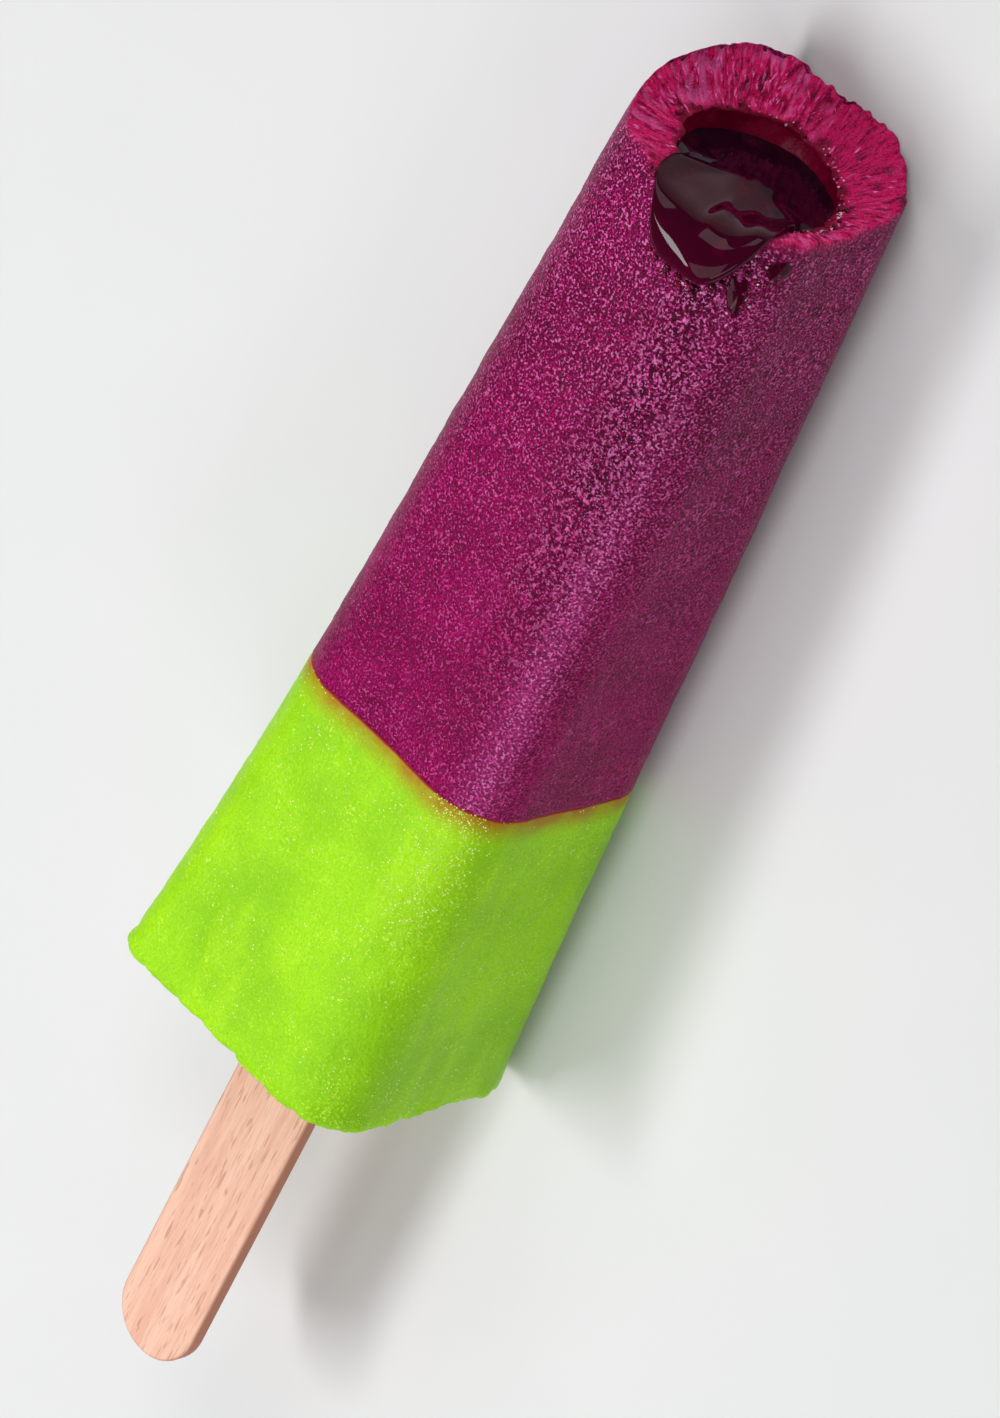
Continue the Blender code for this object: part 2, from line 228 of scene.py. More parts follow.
@dataclass(frozen=True)
class Bite:
    """The bitten face, from the opening of the core out to the skin."""

    edge: Stops = (
        (0, 100.3), (20, 99.8), (47, 99.6), (60, 97.0), (85, 97.0), (97, 98.0), (104, 99.0),
        (114, 99.6), (130, 100.0), (138, 100.9), (150, 102.8), (165, 104.7), (195, 105.4),
        (222, 105.4), (248, 104.9), (275, 105.5), (287, 105.3), (300, 104.3), (310, 103.0),
        (322, 101.9), (345, 101.2),
    )
    opening_edge: Stops = (
        (0, 98.9), (30, 98.4), (60, 96.6), (88, 96.6), (112, 98.4), (128, 99.2), (150, 100.6),
        (200, 101.0), (250, 100.6), (290, 100.2), (320, 99.3),
    )
    opening_radius: float = 7.7 * MM
    unevenness: float = 0.25 * MM
    bay: float = 0.9 * MM
    bay_direction: float = math.radians(245)
    bay_width: float = math.radians(24)
    hollow: float = 1.5
    crest_direction: float = math.radians(250)
    crest_width: float = math.radians(9)
    crest_height: float = 0.8 * MM
    crest_gain: float = 3.2
    crest_end: float = 1.12
    scallop: float = math.radians(30)
    scallop_fall: float = 1.7
    scallop_depth: float = 0.7
    core_top_radius: float = 7.2 * MM
    core_low_radius: float = 7.9 * MM
    core_rounding: float = 9.0 * MM
    core_bottom: float = 53.0 * MM
    core_throat: float = 3.0 * MM
    sauce_level: float = 98.7 * MM
    drip_tip: float = 92.8 * MM
    sauce_reach: Stops = (
        (0, 0.75), (15, 1.0), (30, 1.3), (39, 1.7), (44, 2.0), (50, 2.45), (56, 2.74),
        (62, 2.93), (69, 3.0), (79, 2.99), (85, 2.88), (90, 2.58), (94, 2.30), (100, 2.06),
        (107, 1.75), (115, 1.25), (125, 0.8), (138, 0.4), (155, 0.12), (240, 0.12), (325, 0.12),
    )

    def rim(self, angle: np.ndarray) -> np.ndarray:
        """Return the height of the bite's outer edge."""
        return around(self.edge, angle) * MM

    def opening(self, angle: np.ndarray) -> tuple[np.ndarray, np.ndarray]:
        """Return the distance and height of the edge where the bite opens the core."""
        uneven = self.unevenness * (np.sin(3 * angle + 0.6) + 0.5 * np.sin(7 * angle))
        bay = self.bay * hump(angle, self.bay_direction, self.bay_width)
        return self.opening_radius + uneven + bay, around(self.opening_edge, angle) * MM

    def height(self, angle: np.ndarray, share: np.ndarray | float) -> np.ndarray:
        """Return the height of the bitten face.

        Args:
            angle: Directions around the axis.
            share: 0 at the opening, 1 at the outer edge.

        Returns:
            The heights.
        """
        share = np.clip(share, 0, 1)
        turn = turn_from(angle, self.crest_direction)
        crest = np.exp(-((np.minimum(turn, 0) / self.crest_width) ** 2))
        fall = self.scallop_fall * smooth(turn / self.crest_width * 2)
        crest = crest - fall * np.exp(-np.maximum(turn, 0) / self.scallop)
        crest = np.where(turn > 0, np.maximum(crest, -self.scallop_depth), crest)
        raised = crest * self.crest_height * self.crest_gain * share * (self.crest_end - share)
        return mix(self.opening(angle)[1], self.rim(angle), share ** self.hollow) + raised

    def covered(self, angle: np.ndarray) -> np.ndarray:
        """Return how far sauce covers the opening's edge in each direction, from 0 to 1."""
        return smooth((around(self.sauce_reach, angle) - 0.9) * 2.5)

    def core(self, angle: np.ndarray, t: np.ndarray) -> np.ndarray:
        """Return the radius of the core's wall at heights."""
        edge_radius, edge_height = self.opening(angle)
        start = self.core_bottom + self.core_rounding
        share = np.clip((t - start) / (self.sauce_level - start), 0, 1)
        radius = mix(self.core_low_radius, self.core_top_radius, share)
        drop = np.clip((start - t) / self.core_rounding, 0, 1)
        radius = radius * np.sqrt(1 - drop ** 2)
        return mix(edge_radius, radius, smooth((edge_height - t) / self.core_throat))


MOULD = Mould()
BITE = Bite()


class Shell:
    """A closed skin lofted from rings of places, with numbers that its finish reads."""

    def __init__(self, name: str) -> None:
        """Start an empty shell with the piece's name."""
        self.name = name
        self.places: list[np.ndarray] = []
        self.numbers: dict[str, list[np.ndarray]] = {}

    def ring(self, places: np.ndarray, **numbers: np.ndarray | float) -> None:
        """Add a ring of places, or one place as a pole, with a number or vector for each."""
        places = np.atleast_2d(places)
        self.places.append(places)
        for key, value in numbers.items():
            value = np.asarray(value, float)
            wide = value.shape[-1:] if value.ndim == 2 or value.shape == (3,) else ()
            self.numbers.setdefault(key, []).append(np.broadcast_to(value, (len(places), *wide)))

    def build(self) -> bpy.types.Object:
        """Return the object: a closed mesh with smooth faces that point outwards."""
        starts = np.cumsum([0] + [len(ring) for ring in self.places])
        faces: list[list[int]] = []
        for row, (low, high) in enumerate(zip(self.places, self.places[1:])):
            below, above = int(starts[row]), int(starts[row + 1])
            count = max(len(low), len(high))
            for i in range(count):
                j = (i + 1) % count
                if len(low) == 1:
                    faces.append([below, above + j, above + i])
                elif len(high) == 1:
                    faces.append([below + i, below + j, above])
                else:
                    faces.append([below + i, below + j, above + j, above + i])
        mesh = bpy.data.meshes.new(self.name)
        mesh.from_pydata(np.concatenate(self.places).tolist(), [], faces)
        for key, values in self.numbers.items():
            joined = np.concatenate(values)
            kind = "FLOAT_VECTOR" if joined.ndim == 2 else "FLOAT"
            layer = mesh.attributes.new(key, kind, "POINT")
            layer.data.foreach_set("vector" if joined.ndim == 2 else "value", joined.ravel())
        return finished_object(self.name, mesh)


def finished_object(name: str, mesh: bpy.types.Mesh) -> bpy.types.Object:
    """Turn a mesh's faces outwards, smooth them and put it in the scene as an object."""
    work = bmesh.new()
    work.from_mesh(mesh)
    bmesh.ops.recalc_face_normals(work, faces=work.faces)
    if work.calc_volume(signed=True) < 0:
        bmesh.ops.reverse_faces(work, faces=work.faces)
    for face in work.faces:
        face.smooth = True
    work.to_mesh(mesh)
    work.free()
    made = bpy.data.objects.new(name, mesh)
    bpy.context.scene.collection.objects.link(made)
    return made


def outward(grid: np.ndarray) -> np.ndarray:
    """Return unit normals of a grid of places whose second axis runs around the axis."""
    along = np.gradient(grid, axis=0)
    wrapped = np.concatenate([grid[:, -1:], grid, grid[:, :1]], axis=1)
    across = (wrapped[:, 2:] - wrapped[:, :-2]) / 2
    normal = np.cross(across, along)
    return normal / np.maximum(np.linalg.norm(normal, axis=-1, keepdims=True), 1e-12)


def relax(grid: np.ndarray, rounds: int, rows: slice = slice(None)) -> np.ndarray:
    """Return a grid whose rows are eased towards their neighbours along the grid.

    Args:
        grid: Rows of places or numbers.
        rounds: How often to ease.
        rows: The rows that may move.

    Returns:
        The eased grid.
    """
    for _ in range(rounds):
        eased = grid.copy()
        eased[1:-1] = (grid[:-2] + 2 * grid[1:-1] + grid[2:]) / 4
        grid = grid.copy()
        grid[rows] = eased[rows]
    return grid


# ---------------------------------------------------------------- finishes


class Wire:
    """A shader socket that takes part in sums: an expression adds the Math nodes it needs."""

    def __init__(self, finish: "Finish", socket: bpy.types.NodeSocket) -> None:
        """Hold a socket and the finish whose nodes it belongs to."""
        self.finish, self.socket = finish, socket

    def math(self, operation: str, *others: "Wire | float", clamp: bool = False) -> "Wire":
        """Return the result of a Math node on this socket and others."""
        inputs = dict(enumerate((self, *others)))
        return self.finish.node("ShaderNodeMath", inputs, operation=operation, use_clamp=clamp)

    def __add__(self, other: "Wire | float") -> "Wire":
        """Return the sum."""
        return self.math("ADD", other)

    __radd__ = __add__

    def __mul__(self, other: "Wire | float") -> "Wire":
        """Return the product."""
        return self.math("MULTIPLY", other)

    __rmul__ = __mul__

    def __sub__(self, other: "Wire | float") -> "Wire":
        """Return the difference."""
        return self.math("SUBTRACT", other)

    def __rsub__(self, other: float) -> "Wire":
        """Return the difference from a number."""
        return (self * -1) + other

    def __pow__(self, other: float) -> "Wire":
        """Return the power."""
        return self.math("POWER", other)

    def step(self, low: float, high: float) -> "Wire":
        """Return 0 below low, 1 above high and an eased rise between them."""
        inputs = {"Value": self, "From Min": low, "From Max": high, "To Min": 0.0, "To Max": 1.0}
        return self.finish.node("ShaderNodeMapRange", inputs, interpolation_type="SMOOTHSTEP")


class Finish:
    """A material and the few ways in which its nodes are made."""

    def __init__(self, name: str) -> None:
        """Start a material that holds only its output."""
        self.material = bpy.data.materials.new(name)
        self.material.use_nodes = True
        self.tree = self.material.node_tree
        self.tree.nodes.clear()
        self.output = self.tree.nodes.new("ShaderNodeOutputMaterial")

    def node(self, kind: str, inputs: dict | None = None, output: int = 0, **settings) -> Wire:
        """Add a node.

        Args:
            kind: The node's type.
            inputs: A value or a wire for each socket, by name or number.
            output: Which output to return.
            settings: The node's settings, set first; stops are a ramp's places and colours.

        Returns:
            The output as a wire.
        """
        made = self.tree.nodes.new(kind)
        stops = settings.pop("stops", None)
        for key, value in settings.items():
            setattr(made, key, value)
        if stops:
            ramp = made.color_ramp.elements
            while len(ramp) < len(stops):
                ramp.new(0.5)
            for element, (place, colour) in zip(ramp, stops):
                element.position, element.color = place, (*colour, 1.0)
        for key, value in (inputs or {}).items():
            if isinstance(value, Wire):
                self.tree.links.new(value.socket, made.inputs[key])
            else:
                socket = made.inputs[key]
                is_colour = socket.type == "RGBA" and len(value) == 3
                socket.default_value = (*value, 1.0) if is_colour else value
        return Wire(self, made.outputs[output])

    def attribute(self, name: str, vector: bool = False) -> Wire:
        """Return a number, or a vector, that the piece's mesh carries."""
        return self.node("ShaderNodeAttribute", output=1 if vector else 2, attribute_name=name)

    def place(self) -> Wire:
        """Return the place on the object."""
        return self.node("ShaderNodeTexCoord", output=3)

    def noise(self, vector: Wire, size: float, detail: float = 2.0, rough: float = 0.5) -> Wire:
        """Return noise from 0 to 1 whose lumps have a size in metres."""
        inputs = {"Vector": vector, "Scale": 1 / size, "Detail": detail, "Roughness": rough}
        return self.node("ShaderNodeTexNoise", inputs)

    def stretch(self, vector: Wire, scale: Sequence[float]) -> Wire:
        """Return a vector with each axis scaled."""
        return self.node("ShaderNodeMapping", {"Vector": vector, "Scale": scale})

    def blend(self, share: Wire | float, low: Wire | Colour, high: Wire | Colour) -> Wire:
        """Return a colour between two, by a share."""
        made = self.tree.nodes.new("ShaderNodeMix")
        made.data_type = "RGBA"
        for socket, value in ((made.inputs[0], share), (made.inputs[6], low), (made.inputs[7], high)):
            if isinstance(value, Wire):
                self.tree.links.new(value.socket, socket)
            else:
                socket.default_value = value if isinstance(value, float) else (*value, 1.0)
        return Wire(self, made.outputs[2])

    def bumps(self, *layers: tuple[Wire, float]) -> Wire:
        """Return a normal from heights: each layer is a wire from 0 to 1 and its depth in metres."""
        normal: Wire | None = None
        for height, depth in layers:
            inputs = {"Height": height, "Distance": depth, "Strength": 1.0}
            if normal is not None:
                inputs["Normal"] = normal
            normal = self.node("ShaderNodeBump", inputs)
        return normal

    def surface(self, inputs: dict) -> bpy.types.Material:
        """Add the shader with these values and wires, and return the material."""
        shader = self.node("ShaderNodeBsdfPrincipled", inputs)
        self.tree.links.new(shader.socket, self.output.inputs["Surface"])
        return self.material


@dataclass(frozen=True)
class BerryFinish:
    """Frosted berry ice: dark and wet underneath, with a fine pale grain on its skin that is partly
    painted glints and shade, and a painted highlight along its ridge.
    """

    # Dark ice between the frost grains, also used as painted shade in the grain's hollows.
    deep: Colour = (0.045, 0.0, 0.012)
    body: Colour = (0.330, 0.0, 0.098)
    warm: Colour = (0.420, 0.001, 0.130)
    # Painted highlight: pink blended along the front-right ridge.
    highlight_pink: Colour = (0.62, 0.050, 0.290)
    # Pale specks: partly frost, partly painted glints on the grain.
    frost_and_glint: Colour = (0.66, 0.19, 0.46)
    bitten: Colour = (0.78, 0.002, 0.130)
    # Painted shade for the low parts and cracks of the bitten face.
    bitten_groove_shade: Colour = (0.11, 0.0, 0.010)
    # Pale crystal pink, partly painted highlight on the bite's raised parts.
    crystal_and_highlight: Colour = (1.0, 0.17, 0.54)
    wet: Colour = (0.170, 0.0, 0.020)
    grain: float = 0.24 * MM
    patch: float = 9.0 * MM

    def make(self) -> bpy.types.Material:
        """Return the material."""
        f = Finish("berry_frost")
        place = f.place()
        fine = f.noise(place, self.grain, 1.0, 0.5)
        worm = 1 - ((fine - 0.5).math("ABSOLUTE") * 7).math("MINIMUM", 1.0)
        coarse = f.noise(place, self.grain * 1.9, 1.0, 0.5)
        patch = f.noise(place, self.patch, 2.0)
        dusting = f.noise(place, self.patch * 0.35, 3.0, 0.6)
        rise, rough_band = f.attribute("rise"), f.attribute("coarse")
        # The ridge mask paints a highlight along the front-right ridge.
        ridge_highlight = f.attribute("ridge_highlight")
        # Pale speck cover: random frost, more towards the top as partly painted sheen, and more on the
        # ridge as painted highlight.
        cover = dusting.step(0.35, 0.75) * 0.20 + rise * 0.52 + ridge_highlight * 0.75 + 0.15
        skin = f.blend(patch.step(0.36, 0.64), self.body, self.warm)
        # Dark gaps: partly ice between the grains, partly painted shade; deeper towards the top.
        shaded_gaps = (1 - fine.step(0.42, 0.53)) * (rise * 0.28 + 0.60)
        # Painted highlight: the skin is blended towards pink along the ridge.
        skin = f.blend(ridge_highlight * 0.75, skin, self.highlight_pink)
        skin = f.blend(shaded_gaps, skin, self.deep)
        # Painted shade in the hollows of the coarse bump, heavier in the band beside the ridge.
        shaded_deep_gaps = (1 - coarse.step(0.40, 0.54)) * (rough_band * 0.75 + 0.18)
        skin = f.blend(shaded_deep_gaps, skin, self.deep)
        # Pale specks: partly frost, partly painted glints.
        skin = f.blend(fine.step(0.57, 0.66) * cover, skin, self.frost_and_glint)
        # Pale specks on the coarse bump's peaks in that band: partly frost, partly painted glints.
        frost_glint_pips = coarse.step(0.58, 0.66) * rough_band * 0.7
        skin = f.blend(frost_glint_pips, skin, self.frost_and_glint)

        streak_place = f.attribute("streak", vector=True)
        streak = f.noise(streak_place, 0.62 * MM, 2.0, 0.6)
        thin = f.noise(streak_place, 0.27 * MM, 2.0, 0.5)
        needles = f.attribute("needles")
        peaks = f.attribute("peaks")
        depth = peaks * 0.7 + streak * 0.5
        # The bite's colour follows its relief: low parts and cracks get painted shade, raised parts pale
        # crystal pink that is partly painted highlight.
        flesh = f.blend(depth.step(0.38, 0.54), self.bitten_groove_shade, self.bitten)
        flesh = f.blend((1 - thin.step(0.38, 0.48)) * 0.75, flesh, self.bitten_groove_shade)
        flesh = f.blend(depth.step(0.74, 0.94) * (needles * 0.6), flesh, self.crystal_and_highlight)
        flesh = f.blend(thin.step(0.56, 0.64) * (needles * 0.50), flesh, self.crystal_and_highlight)
        flesh = f.blend(worm * (0.16 - needles * 0.08), flesh, self.crystal_and_highlight)

        bitten = f.attribute("bitten")
        wet = f.attribute("wet")
        colour = f.blend(bitten, skin, flesh)
        colour = f.blend(wet, colour, self.wet)
        rough = (fine * 0.2 + 0.30) * (1 - wet * 0.5)
        dry = 1 - wet * 0.8
        normal = f.bumps(
            (coarse * dry * (rough_band * 0.8 + 0.5), 0.22 * MM), (worm * dry, 0.07 * MM),
            (thin * bitten * dry, 0.20 * MM),
        )
        return f.surface({
            "Base Color": colour, "Roughness": rough, "Normal": normal, "IOR": 1.31,
            "Specular IOR Level": 0.22, "Subsurface Weight": 0.06,
            "Subsurface Radius": (1.0, 0.25, 0.5), "Subsurface Scale": 1.0 * MM,
        })


@dataclass(frozen=True)
class LimeFinish:
    """Frosted lime ice: brighter and more see-through, stained where it meets the berry ice, with painted
    sparkle and shade in its grain and a painted highlight along its ridge.
    """

    body: Colour = (0.345, 0.74, 0.004)
    deep: Colour = (0.250, 0.58, 0.006)
    # Paler lime, for random patches and for the painted highlight along the ridge.
    pale: Colour = (0.46, 0.86, 0.008)
    # Pale specks: partly frost, partly painted sparkle.
    frost_and_glint: Colour = (0.80, 0.98, 0.10)
    stain: Colour = (0.42, 0.13, 0.008)
    line: Colour = (0.36, 0.02, 0.02)
    grain: float = 0.26 * MM
    patch: float = 9.0 * MM
    stain_depth: float = 3.2 * MM

    def make(self) -> bpy.types.Material:
        """Return the material."""
        f = Finish("lime_frost")
        place = f.place()
        fine = f.noise(place, self.grain, 2.0, 0.55)
        coarse = f.noise(place, self.grain * 3, 2.0)
        patch = f.noise(place, self.patch, 3.0)
        drift = f.noise(f.stretch(place, (0.35, 1.0, 1.0)), self.patch * 0.5, 2.0)
        colour = f.blend(patch.step(0.32, 0.64) * 0.85 + 0.15, self.deep, self.body)
        colour = f.blend(drift.step(0.50, 0.72) * 0.40, colour, self.pale)
        cover = f.noise(place, self.patch * 0.4, 3.0, 0.65).step(0.50, 0.72)
        # Pale specks: partly frost, partly painted sparkle, more where frost is thicker.
        colour = f.blend(fine.step(0.56, 0.68) * (cover * 0.60 + 0.22), colour, self.frost_and_glint)
        # Darker grain in the hollows of the fine bump: partly ice, partly painted shade.
        colour = f.blend((1 - fine.step(0.36, 0.50)) * 0.45, colour, self.deep)
        # Painted highlight: paler lime along the front-right ridge.
        colour = f.blend(f.attribute("ridge_highlight") * 0.6, colour, self.pale)
        below = f.attribute("below")
        uneven = f.noise(place, 3.0 * MM, 2.0) * 1.3 + 0.2
        stained = (1 - (below * (1 / self.stain_depth)).step(0.0, 1.0)) * uneven
        colour = f.blend(stained.math("MINIMUM", 0.85), colour, self.stain)
        colour = f.blend(1 - (below * (1 / (0.35 * MM))).step(0.3, 1.0), colour, self.line)
        normal = f.bumps((drift, 0.5 * MM), (coarse, 0.16 * MM), (fine, 0.10 * MM))
        return f.surface({
            "Base Color": colour, "Roughness": fine * 0.2 + 0.30, "Normal": normal, "IOR": 1.31,
            "Specular IOR Level": 0.25, "Subsurface Weight": 0.22, "Subsurface Radius": (0.8, 1.0, 0.15),
            "Subsurface Scale": 2.5 * MM,
        })


@dataclass(frozen=True)
class SauceFinish:
    """Thick berry sauce: nearly black where it is deep, dark red where it is thin."""

    deep: Colour = (0.013, 0.0006, 0.0065)
    thin: Colour = (0.110, 0.0004, 0.018)

    def make(self) -> bpy.types.Material:
        """Return the material."""
        f = Finish("sauce_gloss")
        place = f.place()
        cloud = f.noise(place, 2.2 * MM, 3.0, 0.6)
        share = f.attribute("thin") * 0.75 + cloud.step(0.52, 0.78) * 0.35
        colour = f.blend(share.math("MINIMUM", 1.0), self.deep, self.thin)
        return f.surface({
            "Base Color": colour, "Roughness": 0.04, "IOR": 1.36, "Specular IOR Level": 0.19,
        })


@dataclass(frozen=True)
class WoodFinish:
    """Bare beech: pale pinkish wood with short dark flecks along the grain, darker on its rounded sides as
    partly painted shade.
    """

    body: Colour = (0.78, 0.425, 0.305)
    pale: Colour = (0.87, 0.53, 0.395)
    fleck: Colour = (0.47, 0.20, 0.115)
    # Darker reddish brown for the rounded sides, partly painted shade.
    edge: Colour = (0.47, 0.165, 0.095)

    def make(self) -> bpy.types.Material:
        """Return the material."""
        f = Finish("beech")
        place = f.place()
        bands = f.noise(f.stretch(place, (0.06, 1.0, 1.0)), 1.4 * MM, 3.0, 0.6)
        fibres = f.noise(f.stretch(place, (0.05, 1.0, 1.0)), 0.16 * MM, 2.0)
        dashes = f.noise(f.stretch(place, (0.13, 1.0, 1.0)), 0.34 * MM, 1.0)
        colour = f.blend(bands.step(0.35, 0.65), self.body, self.pale)
        colour = f.blend(fibres.step(0.45, 0.75) * 0.30, colour, self.fleck)
        colour = f.blend(dashes.step(0.60, 0.70) * 0.55, colour, self.fleck)
        # The rounded sides darken, partly as painted shade.
        colour = f.blend(f.attribute("side") * 0.95, colour, self.edge)
        normal = f.bumps((fibres, 0.03 * MM), (dashes * -1, 0.03 * MM))
        return f.surface({"Base Color": colour, "Roughness": fibres * 0.2 + 0.5, "Normal": normal})


@dataclass(frozen=True)
class PlainFinish:
    """One even colour with a fine grain, for small scattered pieces."""

    name: str
    colour: Colour
    other: Colour
    rough: float
    size: float = 1.5 * MM

    def make(self) -> bpy.types.Material:
        """Return the material."""
        f = Finish(self.name)
        share = f.noise(f.place(), self.size, 1.0).step(0.4, 0.6)
        return f.surface({
            "Base Color": f.blend(share, self.colour, self.other), "Roughness": self.rough,
            "IOR": 1.31,
        })


# ---------------------------------------------------------------- scattered pieces


@dataclass(frozen=True)
class Scatter:
    """Small pieces strewn over a surface by Geometry Nodes, as real mesh."""

    name: str
    density: float
    size: float
    spread: tuple[float, float] = (0.5, 1.3)
    stretch: tuple[float, float, float] = (1.0, 1.0, 0.6)
    mask: str = "frosted"
    seed: int = 1
    detail: int = 1
    follow: str = ""

    def tree(self, material: bpy.types.Material) -> bpy.types.NodeTree:
        """Return the node group, with named inputs for the density, the size and the seed."""
        group = bpy.data.node_groups.new(self.name, "GeometryNodeTree")
        face = group.interface
        face.new_socket("Geometry", in_out="INPUT", socket_type="NodeSocketGeometry")
        for label, kind in (
            ("Density", "NodeSocketFloat"), ("Size", "NodeSocketFloat"), ("Seed", "NodeSocketInt"),
        ):
            face.new_socket(label, in_out="INPUT", socket_type=kind)
        face.new_socket("Geometry", in_out="OUTPUT", socket_type="NodeSocketGeometry")

        def node(kind: str, inputs: dict | None = None, **settings) -> bpy.types.Node:
            """Add a node with its settings, then its values or links."""
            made = group.nodes.new(kind)
            for key, value in settings.items():
                setattr(made, key, value)
            for key, value in (inputs or {}).items():
                if isinstance(value, bpy.types.NodeSocket):
                    group.links.new(value, made.inputs[key])
                else:
                    made.inputs[key].default_value = value
            return made

        given = node("NodeGroupInput").outputs
        read = node("GeometryNodeInputNamedAttribute", {"Name": self.mask}, data_type="FLOAT")
        wanted = node("ShaderNodeMath", {0: read.outputs[0], 1: given["Density"]}, operation="MULTIPLY")
        strewn = node(
            "GeometryNodeDistributePointsOnFaces",
            {"Mesh": given["Geometry"], "Density": wanted.outputs[0], "Seed": given["Seed"]},
            distribute_method="RANDOM",
        )
        if self.detail > 1:
            grain = node("GeometryNodeMeshIcoSphere", {"Radius": 1.0, "Subdivisions": self.detail})
        else:
            grain = node("GeometryNodeMeshUVSphere", {"Segments": 4, "Rings": 2, "Radius": 1.0})
        flat = node("GeometryNodeTransform", {"Geometry": grain.outputs[0], "Scale": self.stretch})
        turned = strewn.outputs["Rotation"]
        if self.follow:
            along = node(
                "GeometryNodeInputNamedAttribute", {"Name": self.follow}, data_type="FLOAT_VECTOR"
            )
            turned = node(
                "FunctionNodeAlignRotationToVector",
                {"Rotation": turned, "Vector": along.outputs[0]}, axis="X", pivot_axis="Z",
            ).outputs[0]
            spin_low, spin_high = (-0.3, -0.12, -0.22), (0.3, 0.12, 0.22)
        else:
            spin_low, spin_high = (-0.6, -0.6, -math.pi), (0.6, 0.6, math.pi)
        spin = node(
            "FunctionNodeRandomValue", {"Min": spin_low, "Max": spin_high, "Seed": self.seed + 7},
            data_type="FLOAT_VECTOR",
        )
        turned = node(
            "FunctionNodeRotateRotation", {"Rotation": turned, "Rotate By": spin.outputs[0]},
            rotation_space="LOCAL",
        ).outputs[0]
        each = node(
            "FunctionNodeRandomValue",
            {2: self.spread[0], 3: self.spread[1], "Seed": self.seed + 3}, data_type="FLOAT",
        )
        size = node("ShaderNodeMath", {0: each.outputs[1], 1: given["Size"]}, operation="MULTIPLY")
        placed = node("GeometryNodeInstanceOnPoints", {
            "Points": strewn.outputs["Points"], "Instance": flat.outputs[0],
            "Rotation": turned, "Scale": size.outputs[0],
        })
        real = node("GeometryNodeRealizeInstances", {"Geometry": placed.outputs[0]})
        dressed = node("GeometryNodeSetMaterial", {"Geometry": real.outputs[0], "Material": material})
        node("NodeGroupOutput", {"Geometry": dressed.outputs[0]})
        return group

    def strew(self, host: bpy.types.Object, material: bpy.types.Material) -> bpy.types.Object:
        """Strew the pieces over a host's mesh.

        Args:
            host: The object whose mesh and mask are used.
            material: The pieces' material.

        Returns:
            The pieces as one object.
        """
        group = self.tree(material)
        carrier = bpy.data.objects.new(self.name + "_carrier", host.data)
        bpy.context.scene.collection.objects.link(carrier)
        step = carrier.modifiers.new(self.name, "NODES")
        step.node_group = group
        values = {"Density": self.density, "Size": self.size, "Seed": self.seed}
        for item in group.interface.items_tree:
            if item.in_out == "INPUT" and item.name in values:
                step[item.identifier] = values[item.name]
        bpy.context.view_layer.update()
        evaluated = carrier.evaluated_get(bpy.context.evaluated_depsgraph_get())
        mesh = bpy.data.meshes.new_from_object(evaluated)
        carrier.modifiers.remove(step)
        bpy.data.objects.remove(carrier)
        mesh.name = self.name
        made = bpy.data.objects.new(self.name, mesh)
        bpy.context.scene.collection.objects.link(made)
        if self.detail > 1:
            mesh.shade_smooth()
        else:
            mesh.shade_flat()
        return made


# ---------------------------------------------------------------- the lolly's pieces


def hand_in(made: bpy.types.Object, slot: Slot, *nodes: str) -> None:
    """Make a piece ride on the lolly and stand for its CAD nodes, and report it."""
    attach(made, "root")
    if nodes:
        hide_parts(*nodes)
    log.info("%s: %d faces", made.name, len(made.data.polygons))


def skin_relief(grid: np.ndarray, even: np.ndarray | float = 1.0) -> np.ndarray:
    """Return how far the frozen skin stands proud.

    Args:
        grid: Places on the skin.
        even: How much of the finest layer shows, from 0 to 1.

    Returns:
        The heights of its dents, waves and fine grain together.
    """
    dents = 0.10 * MM * lumps(grid, 11 * MM, 1)
    waves = 0.04 * MM * lumps(grid, 2.4 * MM, 2)
    grain = 0.035 * MM * lumps(grid, 0.9 * MM, 3)
    return dents + waves + grain * even


